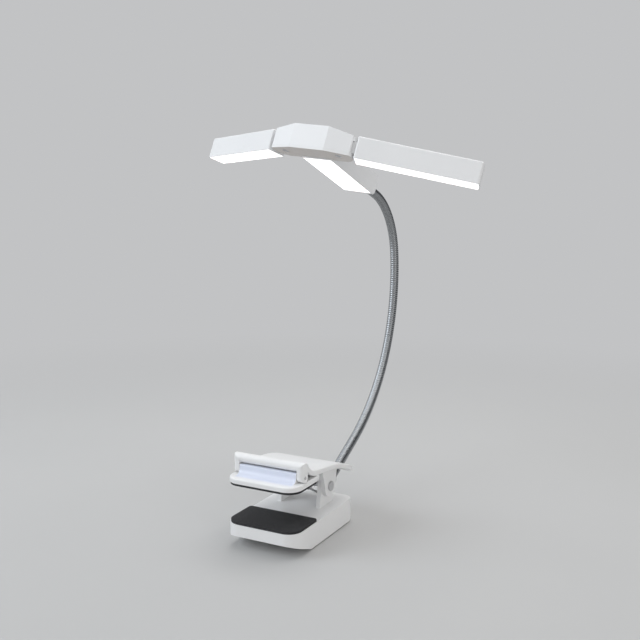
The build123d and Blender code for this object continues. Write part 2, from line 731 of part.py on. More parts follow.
with BuildPart() as hinge_screws:
    with BuildSketch(head.offset(hinge_head_sunk)):
        with Locations(*hinge_spots):
            Circle(hinge_head / 2)
    extrude(amount=hinge_head_height)
    with BuildSketch(head.offset(hinge_head_sunk + hinge_head_height)):
        with Locations(*hinge_spots):
            Circle(hinge_pin / 2)
    extrude(amount=hinge_pin_length)
hinge_screws.part.label = "hinge_screws"
export_step(hinge_screws.part, "parts/hinge_screws.step")

with BuildPart() as hub_board:
    with BuildSketch(head.offset(hub_board_low)):
        with Locations((0, hub_cavity_middle)):
            Rectangle(hub_board_width, hub_board_depth)
    extrude(amount=board_sheet)
hub_board.part.label = "hub_board"
export_step(hub_board.part, "parts/hub_board.step")

with BuildPart() as switches:
    with BuildSketch(head.offset(hub_board_top)):
        with Locations(*button_spots):
            Rectangle(switch_body, switch_body)
    extrude(amount=switch_height)
    with BuildSketch(head.offset(hub_board_top + switch_height)):
        with Locations(*button_spots):
            Circle(switch_stem / 2)
    extrude(amount=switch_stem_height)
switches.part.label = "switches"
export_step(switches.part, "parts/switches.step")

# Push buttons, held under the roof by their flanges
button_foot_low = hub_board_top + switch_height + switch_stem_height + button_travel + running_fit
flange_top = hub_roof - button_clearance
for label, spot in zip(("power_button", "colour_button"), button_spots):
    with BuildPart() as button:
        with BuildSketch(head.offset(button_foot_low)):
            with Locations(spot):
                Circle(button_foot / 2)
        extrude(amount=flange_top - button_flange_height - button_foot_low)
        with BuildSketch(head.offset(flange_top - button_flange_height)):
            with Locations(spot):
                Circle(button_flange / 2)
        extrude(amount=button_flange_height)
        with BuildSketch(head.offset(flange_top)):
            with Locations(spot):
                Circle(button_diameter / 2)
        extrude(amount=hub_height + button_proud - flange_top)
        fillet(button.faces().sort_by(up_head)[-1].edges(), button_proud / 2)
    button.part.label = label
    export_step(button.part, f"parts/{label}.step")


def light_pieces(prefix, base, width, start, end, corner, inset):
    # Diffuser and LED board of one arm, in the arm's own frame
    with BuildPart() as diffuser:
        with BuildSketch(base.offset(-lens_drop)):
            add(lens_plan(width, start, end, corner, lens_rim + lens_gap))
        extrude(amount=lens_sheet)
        with BuildSketch(base.offset(body_base)):
            with Locations((0, start + inset + lens_gap)):
                Rectangle(width - 2 * wall - 2 * lens_gap, end - start - 2 * inset - 2 * lens_gap,
                          align=(Align.CENTER, Align.MIN))
        extrude(amount=lens_plug)
    diffuser.part.label = prefix + "_diffuser"
    export_step(diffuser.part, f"parts/{prefix}_diffuser.step")
    board_length = end - start - 2 * inset - 2 * lens_gap
    led_count = int(board_length / led_pitch)
    with BuildPart() as led_board:
        with BuildSketch(base.offset(led_level - led_sheet)):
            with Locations((0, start + inset + lens_gap)):
                Rectangle(width - 2 * wall - 2 * lens_gap, board_length, align=(Align.CENTER, Align.MIN))
        extrude(amount=led_sheet)
        with BuildSketch(base.offset(led_level - led_sheet)):
            with Locations((0, (start + end) / 2)):
                with GridLocations(led_pitch, led_pitch, 1, led_count):
                    Rectangle(led_size, led_size)
        extrude(amount=-led_height)
    led_board.part.label = prefix + "_led_board"
    export_step(led_board.part, f"parts/{prefix}_led_board.step")


light_pieces("middle", head, middle_width, light_start, light_end, 0, wall)

for prefix, side, fold in (("left", -1, left_fold), ("right", 1, right_fold)):
    arm = side_plane(side, fold)
    along_arm = Axis(arm.origin, arm.y_dir)
    up_arm = Axis(arm.origin, arm.z_dir)
    with BuildPart() as arm_housing:
        with BuildSketch(arm.offset(-lens_drop)):
            with Locations((0, arm_start)):
                Rectangle(arm_width, arm_reach - arm_start, align=(Align.CENTER, Align.MIN))
        extrude(amount=arm_top + lens_drop)
        fillet(arm_housing.edges().filter_by(up_arm).group_by(along_arm)[-1], arm_far_corner)
        fillet(arm_housing.edges().filter_by(up_arm).group_by(along_arm)[0], arm_near_corner)
        fillet(arm_housing.faces().sort_by(up_arm)[-1].edges(), arm_edge)
        with BuildSketch(arm.offset(knuckle_low)):
            Circle(knuckle_radius)
            Rectangle(2 * knuckle_radius, arm_start + arm_end_wall / 2, align=(Align.CENTER, Align.MIN))
        extrude(amount=knuckle_height)
        with BuildSketch(arm.offset(knuckle_low)):
            Circle(hinge_pin / 2 + running_fit)
        extrude(amount=knuckle_height, mode=Mode.SUBTRACT)
        with BuildSketch(arm.offset(-lens_drop)):
            add(lens_plan(arm_width, arm_start, arm_reach, arm_far_corner, lens_rim))
        extrude(amount=lens_sheet, mode=Mode.SUBTRACT)
        with BuildSketch(arm.offset(body_base)):
            with Locations((0, arm_start + arm_end_wall)):
                Rectangle(arm_width - 2 * wall, arm_reach - arm_start - 2 * arm_end_wall,
                          align=(Align.CENTER, Align.MIN))
        extrude(amount=led_level - body_base, mode=Mode.SUBTRACT)
        with BuildSketch(arm.offset(led_level)):
            with Locations((0, arm_start + arm_end_wall + led_ledge)):
                Rectangle(arm_width - 2 * wall - 2 * led_ledge,
                          arm_reach - arm_start - 2 * arm_end_wall - 2 * led_ledge,
                          align=(Align.CENTER, Align.MIN))
        extrude(amount=arm_top - roof - led_level, mode=Mode.SUBTRACT)
    arm_housing.part.label = prefix + "_arm_housing"
    export_step(arm_housing.part, f"parts/{prefix}_arm_housing.step")
    light_pieces(prefix, arm, arm_width, arm_start, arm_reach, arm_far_corner, arm_end_wall)

# Lead from the charge board to the head, inside the gooseneck
lead_route = neck_line(lead_tail, middle_reach - collar_seat - light_end + wall - running_fit)
with BuildPart() as lead:
    with BuildLine():
        add(lead_route)
    with BuildSketch(Plane(origin=lead_route @ 0, z_dir=lead_route % 0)):
        Circle(lead_diameter / 2)
    sweep()
lead.part.label = "lead"
export_step(lead.part, "parts/lead.step")
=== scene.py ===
import math

import bmesh
import bpy
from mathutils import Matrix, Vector


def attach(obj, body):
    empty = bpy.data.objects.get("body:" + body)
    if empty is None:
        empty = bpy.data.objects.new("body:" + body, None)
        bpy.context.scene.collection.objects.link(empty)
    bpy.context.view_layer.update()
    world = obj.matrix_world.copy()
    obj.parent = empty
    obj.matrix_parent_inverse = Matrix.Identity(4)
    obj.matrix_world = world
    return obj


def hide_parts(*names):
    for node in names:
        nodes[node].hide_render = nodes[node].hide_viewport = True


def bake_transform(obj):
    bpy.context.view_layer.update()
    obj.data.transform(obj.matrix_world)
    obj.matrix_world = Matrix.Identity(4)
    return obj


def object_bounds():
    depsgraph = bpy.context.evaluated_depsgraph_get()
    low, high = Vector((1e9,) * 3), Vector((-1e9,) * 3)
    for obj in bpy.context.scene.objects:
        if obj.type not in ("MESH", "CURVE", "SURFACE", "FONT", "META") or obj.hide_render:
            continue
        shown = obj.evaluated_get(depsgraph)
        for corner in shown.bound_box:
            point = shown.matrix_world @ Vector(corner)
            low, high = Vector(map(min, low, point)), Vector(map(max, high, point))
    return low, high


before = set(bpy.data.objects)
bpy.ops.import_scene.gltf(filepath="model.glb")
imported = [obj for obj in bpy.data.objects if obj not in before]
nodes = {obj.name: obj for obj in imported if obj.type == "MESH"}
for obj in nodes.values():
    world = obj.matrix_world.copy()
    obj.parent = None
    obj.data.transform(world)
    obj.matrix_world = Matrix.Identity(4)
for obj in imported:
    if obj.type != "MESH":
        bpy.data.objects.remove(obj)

cadLow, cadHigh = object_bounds()
print("frame loaded,", len(nodes), "nodes")


# small helpers for shader trees
def addNode(tree, kind, **settings):
    node = tree.nodes.new("ShaderNode" + kind)
    for name, value in settings.items():
        setattr(node, name, value)
    return node


def feed(tree, socket, value):  # a number, a colour or another node's output
    if isinstance(value, bpy.types.NodeSocket):
        tree.links.new(value, socket)
    else:
        socket.default_value = value


def calc(tree, operation, a, b=0.5, clamp=False):
    node = addNode(tree, "Math", operation=operation, use_clamp=clamp)
    feed(tree, node.inputs[0], a)
    feed(tree, node.inputs[1], b)
    return node.outputs[0]


def blendColour(tree, factor, a, b, blend="MIX"):
    node = addNode(tree, "Mix", data_type="RGBA", blend_type=blend)
    feed(tree, node.inputs[0], factor)
    feed(tree, node.inputs[6], a)
    feed(tree, node.inputs[7], b)
    return node.outputs[2]


def rescale(tree, value, low, high, newLow, newHigh):
    node = addNode(tree, "MapRange")
    feed(tree, node.inputs["Value"], value)
    for label, number in (("From Min", low), ("From Max", high), ("To Min", newLow), ("To Max", newHigh)):
        feed(tree, node.inputs[label], number)
    return node.outputs[0]


noiseSpan = (0.3, 0.7)  # nearly all values of a noise lie between these


def noiseOf(tree, vector, scale, detail=3.0, coarse=0.5):
    node = addNode(tree, "TexNoise")
    feed(tree, node.inputs["Vector"], vector)
    feed(tree, node.inputs["Scale"], scale)
    feed(tree, node.inputs["Detail"], detail)
    feed(tree, node.inputs["Roughness"], coarse)
    return node.outputs["Fac"]


def newGroup(name, inputs, outputs):
    tree = bpy.data.node_groups.new(name, "ShaderNodeTree")
    for label, kind, value in inputs:
        tree.interface.new_socket(label, in_out="INPUT", socket_type="NodeSocket" + kind).default_value = value
    for label, kind in outputs:
        tree.interface.new_socket(label, in_out="OUTPUT", socket_type="NodeSocket" + kind)
    return tree, tree.nodes.new("NodeGroupInput").outputs, tree.nodes.new("NodeGroupOutput").inputs


def useGroup(tree, group, **values):
    node = addNode(tree, "Group", node_tree=group)
    for label, value in values.items():
        feed(tree, node.inputs[label], value)
    return node.outputs


# shared effects; noise scales count per metre, and coarse is how rough a noise itself is
grainForm = {"driftScale": 26.0, "cloudScale": 140.0, "cloudCoarse": 0.6, "cloudRelief": 0.6}


def makeMouldGrain():  # spark-eroded skin of a moulding, with slow drifts of tone from the flow of the plastic
    tree, given, out = newGroup(
        "mouldGrain",
        [("Colour", "Color", (0.85, 0.85, 0.86, 1)), ("Drift", "Float", 0.03), ("Grain", "Float", 2600.0),
         ("Rough", "Float", 0.36), ("RoughDrift", "Float", 0.1)],
        [("Colour", "Color"), ("Roughness", "Float"), ("Height", "Float")])
    place = addNode(tree, "TexCoord").outputs["Object"]
    slow = noiseOf(tree, place, grainForm["driftScale"], 2.0)
    cloud = noiseOf(tree, place, grainForm["cloudScale"], 4.0, grainForm["cloudCoarse"])
    fine = noiseOf(tree, place, given["Grain"], 2.0)
    tone = calc(tree, "MULTIPLY", calc(tree, "SUBTRACT", slow, 0.5), given["Drift"])
    tone = calc(tree, "ADD", tone, 1.0)
    shade = addNode(tree, "CombineColor")
    for channel in shade.inputs:
        feed(tree, channel, tone)
    feed(tree, out["Colour"], blendColour(tree, 1.0, given["Colour"], shade.outputs[0], "MULTIPLY"))
    rough = calc(tree, "MULTIPLY", calc(tree, "SUBTRACT", cloud, 0.5), given["RoughDrift"])
    feed(tree, out["Roughness"], calc(tree, "ADD", rough, given["Rough"], clamp=True))
    clouded = calc(tree, "MULTIPLY", cloud, grainForm["cloudRelief"])
    feed(tree, out["Height"], calc(tree, "ADD", fine, clouded))
    return tree


dustForm = {"settlesFrom": 0.35, "settlesFully": 0.95, "scale": 900.0, "coarse": 0.7, "sparse": 0.45,
            "dense": 0.75}


def makeDustFall():  # fine dust that settles on what faces up
    tree, given, out = newGroup("dustFall", [("Amount", "Float", 0.15)], [("Mask", "Float")])
    up = addNode(tree, "SeparateXYZ")
    feed(tree, up.inputs[0], addNode(tree, "TexCoord").outputs["Normal"])
    facing = rescale(tree, up.outputs[2], dustForm["settlesFrom"], dustForm["settlesFully"], 0.0, 1.0)
    place = addNode(tree, "TexCoord").outputs["Object"]
    specks = noiseOf(tree, place, dustForm["scale"], 5.0, dustForm["coarse"])
    thick = rescale(tree, specks, dustForm["sparse"], dustForm["dense"], 0.0, 1.0)
    feed(tree, out["Mask"], calc(tree, "MULTIPLY", calc(tree, "MULTIPLY", facing, thick), given["Amount"]))
    return tree


rubForm = {"sharpFrom": 0.52, "sharpFully": 0.6, "scale": 260.0, "coarse": 0.65}


def makeEdgeRub():  # handled edges, which another colour is laid over in patches
    tree, given, out = newGroup("edgeRub", [("Reach", "Float", 0.5)], [("Mask", "Float")])
    pointed = addNode(tree, "NewGeometry").outputs["Pointiness"]
    sharp = rescale(tree, pointed, rubForm["sharpFrom"], rubForm["sharpFully"], 0.0, 1.0)
    place = addNode(tree, "TexCoord").outputs["Object"]
    patchy = noiseOf(tree, place, rubForm["scale"], 4.0, rubForm["coarse"])
    feed(tree, out["Mask"], calc(tree, "MULTIPLY", calc(tree, "MULTIPLY", sharp, patchy), given["Reach"]))
    return tree


drawnForm = {"lineScale": 1800.0, "cloudScale": 210.0, "cloudCoarse": 0.6, "dullFrom": 0.55, "dullFully": 0.8}


def makeDrawLines():  # drawn or rolled metal: fine lines along one direction
    tree, given, out = newGroup(
        "drawLines",
        [("Stretch", "Vector", (1.0, 1.0, 1.0)), ("Rough", "Float", 0.25), ("Spread", "Float", 0.2)],
        [("Roughness", "Float"), ("Height", "Float"), ("Tarnish", "Float")])
    place = addNode(tree, "TexCoord").outputs["Object"]
    along = addNode(tree, "VectorMath", operation="MULTIPLY")
    feed(tree, along.inputs[0], place)
    feed(tree, along.inputs[1], given["Stretch"])
    lines = noiseOf(tree, along.outputs[0], drawnForm["lineScale"], 3.0)
    cloud = noiseOf(tree, place, drawnForm["cloudScale"], 4.0, drawnForm["cloudCoarse"])
    rough = calc(tree, "MULTIPLY", lines, given["Spread"])
    feed(tree, out["Roughness"], calc(tree, "ADD", rough, given["Rough"], clamp=True))
    feed(tree, out["Height"], lines)
    feed(tree, out["Tarnish"], rescale(tree, cloud, drawnForm["dullFrom"], drawnForm["dullFully"], 0.0, 1.0))
    return tree


def makeFacingSide():  # the side of a piece that faces one way, such as an underside
    tree, given, out = newGroup(
        "facingSide",
        [("Direction", "Vector", (0.0, 0.0, -1.0)), ("From", "Float", 0.8), ("To", "Float", 0.93)],
        [("Mask", "Float")])
    match = addNode(tree, "VectorMath", operation="DOT_PRODUCT")
    feed(tree, match.inputs[0], addNode(tree, "TexCoord").outputs["Normal"])
    feed(tree, match.inputs[1], given["Direction"])
    feed(tree, out["Mask"], rescale(tree, match.outputs["Value"], given["From"], given["To"], 0.0, 1.0))
    return tree


def makeBoxZone():  # what lies inside a box, fading at its walls
    tree, given, out = newGroup(
        "boxZone",
        [("Low", "Vector", (-1.0, -1.0, -1.0)), ("High", "Vector", (1.0, 1.0, 1.0)),
         ("Fade", "Vector", (0.0004, 0.0004, 0.0004))],
        [("Mask", "Float")])
    place = addNode(tree, "TexCoord").outputs["Object"]
    mask = 1.0
    for larger, smaller in ((place, given["Low"]), (given["High"], place)):
        depth = addNode(tree, "VectorMath", operation="SUBTRACT")
        feed(tree, depth.inputs[0], larger)
        feed(tree, depth.inputs[1], smaller)
        shares = addNode(tree, "VectorMath", operation="DIVIDE")
        feed(tree, shares.inputs[0], depth.outputs[0])
        feed(tree, shares.inputs[1], given["Fade"])
        split = addNode(tree, "SeparateXYZ")
        feed(tree, split.inputs[0], shares.outputs[0])
        for share in split.outputs:
            mask = calc(tree, "MULTIPLY", calc(tree, "ADD", share, 0.0, clamp=True), mask)
    feed(tree, out["Mask"], mask)
    return tree


mouldGrain, dustFall, edgeRub, drawLines = makeMouldGrain(), makeDustFall(), makeEdgeRub(), makeDrawLines()
facingSide, boxZone = makeFacingSide(), makeBoxZone()


def newMaterial(name):
    material = bpy.data.materials.new(name)
    material.use_nodes = True
    tree = material.node_tree
    return material, tree, tree.nodes["Principled BSDF"]


def bump(tree, shader, height, strength, depth):
    node = addNode(tree, "Bump")
    feed(tree, node.inputs["Strength"], strength)
    feed(tree, node.inputs["Distance"], depth)
    feed(tree, node.inputs["Height"], height)
    feed(tree, shader.inputs["Normal"], node.outputs[0])


shellForm = {"relief": 0.000018, "dulledByDust": 0.5, "specular": 0.45, "coatRough": 0.22}


def makeShell(name, look):  # satin moulded plastic
    material, tree, shader = newMaterial(name)
    ground = look["colour"]
    if "paintedLightTint" in look:  # painted light: the side facing the given way gets a tint that stands in for the light falling on it, inside a given box
        there = useGroup(tree, facingSide, Direction=look["facing"], From=look["begins"], To=look["full"])
        inside = useGroup(tree, boxZone, Low=look["low"], High=look["high"], Fade=look["fade"])
        both = calc(tree, "MULTIPLY", there["Mask"], inside["Mask"])
        ground = blendColour(tree, both, ground, look["paintedLightTint"])
    skin = useGroup(tree, mouldGrain, Colour=ground, Drift=look["drift"], Grain=look["grain"],
                    Rough=look["rough"], RoughDrift=look["roughDrift"])
    rub = useGroup(tree, edgeRub, Reach=look["rub"])["Mask"]
    dust = useGroup(tree, dustFall, Amount=look["dust"])["Mask"]
    colour = blendColour(tree, rub, skin["Colour"], look["rubbed"])
    feed(tree, shader.inputs["Base Color"], blendColour(tree, dust, colour, look["dustColour"]))
    dulled = calc(tree, "MULTIPLY", dust, shellForm["dulledByDust"])
    feed(tree, shader.inputs["Roughness"], calc(tree, "ADD", skin["Roughness"], dulled, clamp=True))
    bump(tree, shader, skin["Height"], look["bump"], shellForm["relief"])
    feed(tree, shader.inputs["Specular IOR Level"], shellForm["specular"])
    feed(tree, shader.inputs["Coat Weight"], look["coat"])
    feed(tree, shader.inputs["Coat Roughness"], shellForm["coatRough"])
    return material


# shoeShellPaintedShade paints pale blue sky-lit shade on the shoe's knuckle and foot, hubShellPaintedShade
# paints warm grey shade on the hub cover's underside
shellLooks = {
    "whiteShell": {"colour": (0.84, 0.84, 0.84, 1), "drift": 0.05, "grain": 2600.0, "rough": 0.36,
                   "roughDrift": 0.14, "rub": 0.35, "rubbed": (0.9, 0.9, 0.91, 1), "dust": 0.1,
                   "dustColour": (0.6, 0.59, 0.57, 1), "bump": 0.2, "coat": 0.08},
    "headShell": {"colour": (0.83, 0.833, 0.838, 1), "drift": 0.05, "grain": 2400.0, "rough": 0.38,
                  "roughDrift": 0.12, "rub": 0.3, "rubbed": (0.9, 0.9, 0.91, 1), "dust": 0.08,
                  "dustColour": (0.6, 0.59, 0.57, 1), "bump": 0.2, "coat": 0.05},
    # white shoe shell; its pale blue tint is painted sky-lit shade on the knuckle and foot, fading out towards
    # the plate's rim
    "shoeShellPaintedShade": {"colour": (0.84, 0.84, 0.84, 1), "paintedLightTint": (0.74, 0.78, 0.9, 1),
                  "facing": (0.0, -0.7071, 0.7071), "begins": 0.3, "full": 0.6,
                  "low": (-0.0217, -0.0128, 0.029), "high": (0.0217, 0.0, 0.04),
                  "fade": (0.0002, 0.0038, 0.0004), "drift": 0.05, "grain": 3000.0, "rough": 0.34,
                  "roughDrift": 0.1, "rub": 0.03, "rubbed": (0.85, 0.88, 0.93, 1), "dust": 0.0,
                  "dustColour": (0.6, 0.59, 0.57, 1), "bump": 0.05, "coat": 0.08},
    # white hub shell; its warm grey underside is painted shade, warmed as by light off a wooden desk below
    "hubShellPaintedShade": {"colour": (0.83, 0.833, 0.838, 1), "paintedLightTint": (0.62, 0.575, 0.545, 1),
                  "facing": (-0.10973, -0.33669, -0.93520), "begins": 0.8, "full": 0.93,
                  "low": (-0.2, -0.2, -0.2), "high": (0.4, 0.4, 0.4), "fade": (0.0004, 0.0004, 0.0004),
                  "drift": 0.06, "grain": 2400.0, "rough": 0.42, "roughDrift": 0.14, "rub": 0.3,
                  "rubbed": (0.78, 0.77, 0.76, 1), "dust": 0.04, "dustColour": (0.5, 0.49, 0.47, 1),
                  "bump": 0.22, "coat": 0.03},
    "buttonCap": {"colour": (0.63, 0.64, 0.66, 1), "drift": 0.05, "grain": 1800.0, "rough": 0.5,
                  "roughDrift": 0.12, "rub": 0.5, "rubbed": (0.74, 0.75, 0.76, 1), "dust": 0.06,
                  "dustColour": (0.55, 0.54, 0.52, 1), "bump": 0.35, "coat": 0.0},
    "blackPlastic": {"colour": (0.018, 0.018, 0.02, 1), "drift": 0.1, "grain": 2600.0, "rough": 0.45,
                     "roughDrift": 0.15, "rub": 0.3, "rubbed": (0.07, 0.07, 0.075, 1), "dust": 0.1,
                     "dustColour": (0.2, 0.19, 0.18, 1), "bump": 0.3, "coat": 0.0},
}

# lit diffusers: a milky cover whose brightness wavers a little
lensLook = {"colour": (0.93, 0.93, 0.925, 1), "shade": (0.88, 0.885, 0.89, 1), "haze": 320.0,
            "hazeCoarse": 0.55, "glow": 1.25, "dim": (0.80, 0.81, 0.83, 1), "bright": (1.0, 0.995, 0.985, 1),
            "waver": 60.0, "least": 0.75, "rough": (0.42, 0.56), "depthShare": 0.2, "depth": 0.002,
            "grain": 3200.0, "bump": 0.12, "relief": 0.00003}


def makeLens(name, look):
    material, tree, shader = newMaterial(name)
    place = addNode(tree, "TexCoord").outputs["Object"]
    cloud = noiseOf(tree, place, look["haze"], 3.0, look["hazeCoarse"])
    glow = rescale(tree, noiseOf(tree, place, look["waver"], 2.0), *noiseSpan, look["least"], 1.0)
    feed(tree, shader.inputs["Base Color"], blendColour(tree, cloud, look["colour"], look["shade"]))
    feed(tree, shader.inputs["Emission Color"], blendColour(tree, glow, look["dim"], look["bright"]))
    feed(tree, shader.inputs["Emission Strength"], look["glow"])
    feed(tree, shader.inputs["Roughness"], rescale(tree, cloud, *noiseSpan, *look["rough"]))
    feed(tree, shader.inputs["Subsurface Weight"], look["depthShare"])
    feed(tree, shader.inputs["Subsurface Scale"], look["depth"])
    bump(tree, shader, noiseOf(tree, place, look["grain"], 2.0), look["bump"], look["relief"])
    return material


# rubber of pads and lead, with a dull bloom; the pads have fine grip lines across the jaw
rubberLook = {"colour": (0.022, 0.022, 0.024, 1), "bloom": (0.075, 0.075, 0.078, 1), "cloud": 180.0,
              "cloudCoarse": 0.65, "bloomFrom": 0.4, "bloomFully": 0.75, "bloomShare": 0.6,
              "rough": (0.62, 0.85), "dust": 0.25, "dustColour": (0.2, 0.19, 0.18, 1), "grain": 3600.0,
              "grainShare": 0.15, "pitch": 0.0016, "lineFrom": -0.2, "lineFully": 0.5, "bump": 0.55,
              "lineDepth": 0.00035, "grainDepth": 0.00005, "specular": 0.3}


def makeRubber(name, look, lined):
    material, tree, shader = newMaterial(name)
    place = addNode(tree, "TexCoord").outputs["Object"]
    cloud = noiseOf(tree, place, look["cloud"], 5.0, look["cloudCoarse"])
    height = noiseOf(tree, place, look["grain"], 2.0)
    dust = useGroup(tree, dustFall, Amount=look["dust"])["Mask"]
    bloom = rescale(tree, cloud, look["bloomFrom"], look["bloomFully"], 0.0, look["bloomShare"])
    colour = blendColour(tree, bloom, look["colour"], look["bloom"])
    feed(tree, shader.inputs["Base Color"], blendColour(tree, dust, colour, look["dustColour"]))
    feed(tree, shader.inputs["Roughness"], rescale(tree, cloud, *noiseSpan, *look["rough"]))
    if lined:
        part = addNode(tree, "SeparateXYZ")
        feed(tree, part.inputs[0], place)
        wave = calc(tree, "SINE", calc(tree, "MULTIPLY", part.outputs[1], 2 * math.pi / look["pitch"]))
        ridges = rescale(tree, wave, look["lineFrom"], look["lineFully"], 0.0, 1.0)
        height = calc(tree, "ADD", calc(tree, "MULTIPLY", height, look["grainShare"]), ridges)
    bump(tree, shader, height, look["bump"], look["lineDepth"] if lined else look["grainDepth"])
    feed(tree, shader.inputs["Specular IOR Level"], look["specular"])
    return material


# metals: colour, tarnish, line direction and shine of each
metalLooks = {
    "hoseSteel": {"colour": (0.31, 0.32, 0.33, 1), "tarnish": (0.2, 0.2, 0.2, 1), "share": 0.35,
                  "stretch": (1.0, 1.0, 1.0), "rough": 0.19, "spread": 0.12, "bump": 0.05},
    "pinSteel": {"colour": (0.62, 0.62, 0.63, 1), "tarnish": (0.36, 0.34, 0.32, 1), "share": 0.35,
                 "stretch": (1.0, 0.06, 0.06), "rough": 0.24, "spread": 0.2, "bump": 0.12},
    "springSteel": {"colour": (0.46, 0.46, 0.475, 1), "tarnish": (0.26, 0.24, 0.22, 1), "share": 0.45,
                    "stretch": (0.2, 1.0, 1.0), "rough": 0.26, "spread": 0.18, "bump": 0.1},
    "collarSteel": {"colour": (0.76, 0.77, 0.79, 1), "tarnish": (0.5, 0.49, 0.48, 1), "share": 0.2,
                    "stretch": (0.1, 1.0, 1.0), "rough": 0.1, "spread": 0.12, "bump": 0.06},
    "socketSteel": {"colour": (0.66, 0.66, 0.67, 1), "tarnish": (0.4, 0.39, 0.38, 1), "share": 0.2,
                    "stretch": (0.1, 1.0, 1.0), "rough": 0.2, "spread": 0.15, "bump": 0.06},
    "cellFoil": {"colour": (0.6, 0.61, 0.63, 1), "tarnish": (0.5, 0.5, 0.52, 1), "share": 0.5,
                 "stretch": (0.3, 1.0, 1.0), "rough": 0.3, "spread": 0.25, "bump": 0.2},
}
metalForm = {"dulledByTarnish": 0.4, "relief": 0.00003}


def makeMetal(name, look):
    material, tree, shader = newMaterial(name)
    lines = useGroup(tree, drawLines, Stretch=look["stretch"], Rough=look["rough"], Spread=look["spread"])
    share = calc(tree, "MULTIPLY", lines["Tarnish"], look["share"])
    feed(tree, shader.inputs["Base Color"], blendColour(tree, share, look["colour"], look["tarnish"]))
    dulled = calc(tree, "MULTIPLY", share, metalForm["dulledByTarnish"])
    feed(tree, shader.inputs["Roughness"], calc(tree, "ADD", lines["Roughness"], dulled, clamp=True))
    feed(tree, shader.inputs["Metallic"], 1.0)
    bump(tree, shader, lines["Height"], look["bump"], metalForm["relief"])
    return material


# circuit boards: mask over tracks, with round tinned pads; the boards behind the diffusers are white
boardLook = {"mask": (0.012, 0.11, 0.055, 1), "track": (0.03, 0.2, 0.1, 1), "tin": (0.55, 0.55, 0.54, 1),
             "whiteMask": (0.78, 0.79, 0.78, 1), "phosphor": (0.85, 0.72, 0.3, 1), "padScale": 420.0,
             "padEdge": (0.16, 0.2), "cloud": 300.0, "cloudShare": 0.2, "rough": (0.28, 0.42), "bump": 0.2,
             "relief": 0.00006}
trackForm = {"Scale": 260.0, "Mortar Size": 0.08, "Color1": (0, 0, 0, 1), "Color2": (0, 0, 0, 1),
             "Mortar": (1, 1, 1, 1), "Brick Width": 0.9, "Row Height": 0.35}


def makeBoard(name, look, ground, track):
    material, tree, shader = newMaterial(name)
    place = addNode(tree, "TexCoord").outputs["Object"]
    cells = addNode(tree, "TexBrick")
    feed(tree, cells.inputs["Vector"], place)
    for label, value in trackForm.items():
        feed(tree, cells.inputs[label], value)
    dots = addNode(tree, "TexVoronoi")
    feed(tree, dots.inputs["Vector"], place)
    feed(tree, dots.inputs["Scale"], look["padScale"])
    pad = rescale(tree, dots.outputs["Distance"], *look["padEdge"], 1.0, 0.0)
    cloud = noiseOf(tree, place, look["cloud"], 3.0)
    mask = blendColour(tree, calc(tree, "MULTIPLY", cloud, look["cloudShare"]), ground, track)
    lined = blendColour(tree, cells.outputs["Color"], mask, track)
    feed(tree, shader.inputs["Base Color"], blendColour(tree, pad, lined, look["tin"]))
    feed(tree, shader.inputs["Roughness"], rescale(tree, cloud, *noiseSpan, *look["rough"]))
    bump(tree, shader, calc(tree, "ADD", pad, cloud), look["bump"], look["relief"])
    return material


finishes = {name: makeShell(name, look) for name, look in shellLooks.items()}
finishes["litLens"] = makeLens("litLens", lensLook)
finishes["padRubber"] = makeRubber("padRubber", rubberLook, True)
finishes["leadRubber"] = makeRubber("leadRubber", rubberLook, False)
finishes["greenBoard"] = makeBoard("greenBoard", boardLook, boardLook["mask"], boardLook["track"])
finishes["whiteBoard"] = makeBoard("whiteBoard", boardLook, boardLook["whiteMask"], boardLook["phosphor"])
finishes.update({name: makeMetal(name, look) for name, look in metalLooks.items()})
print("materials made:", len(finishes))

# which finish each CAD node wears
dressing = {
    "whiteShell": ["upper_lever", "base_housing", "base_cover"],
    "headShell": ["head_housing", "left_arm_housing", "right_arm_housing"],
    "shoeShellPaintedShade": ["upper_shoe"],
    "hubShellPaintedShade": ["hub_cover"],
    "buttonCap": ["power_button", "colour_button"],
    "blackPlastic": ["switches"],
    "litLens": ["left_diffuser", "middle_diffuser", "right_diffuser"],
    "padRubber": ["lower_pad", "upper_pad"],
    "leadRubber": ["lead"],
    "greenBoard": ["charge_board", "hub_board"],
    "whiteBoard": ["left_led_board", "middle_led_board", "right_led_board"],
    "collarSteel": ["lower_collar", "upper_collar"],
    "pinSteel": ["pivot_pin", "swivel_pin"],
    "socketSteel": ["usb_socket"],
    "cellFoil": ["battery_cell"],
}


def dress(thing, finish):
    thing.data.materials.clear()
    thing.data.materials.append(finishes[finish])


for finish, names in dressing.items():
    for name in names:
        dress(nodes[name], finish)
print("CAD nodes dressed")


def newPiece(name, points, faces, finish):
    mesh = bpy.data.meshes.new(name)
    mesh.from_pydata(points, [], faces)
    mesh.polygons.foreach_set("use_smooth", [True] * len(faces))
    mesh.update()
    piece = bpy.data.objects.new(name, mesh)
    bpy.context.scene.collection.objects.link(piece)
    dress(piece, finish)
    return piece


def markSharp(piece, limit):  # edges that turn more than the limit stay crisp
    body = bmesh.new()
    body.from_mesh(piece.data)
    bmesh.ops.recalc_face_normals(body, faces=body.faces)
    for edge in body.edges:
        edge.smooth = edge.calc_face_angle(0.0) < math.radians(limit)
    body.to_mesh(piece.data)
    body.free()


def wallBetween(low, segments):  # faces between the ring that starts at point low and the next ring
    after = [*range(low + 1, low + segments), low]
    return [(point, after[step], after[step] + segments, point + segments)
            for step, point in enumerate(range(low, low + segments))]


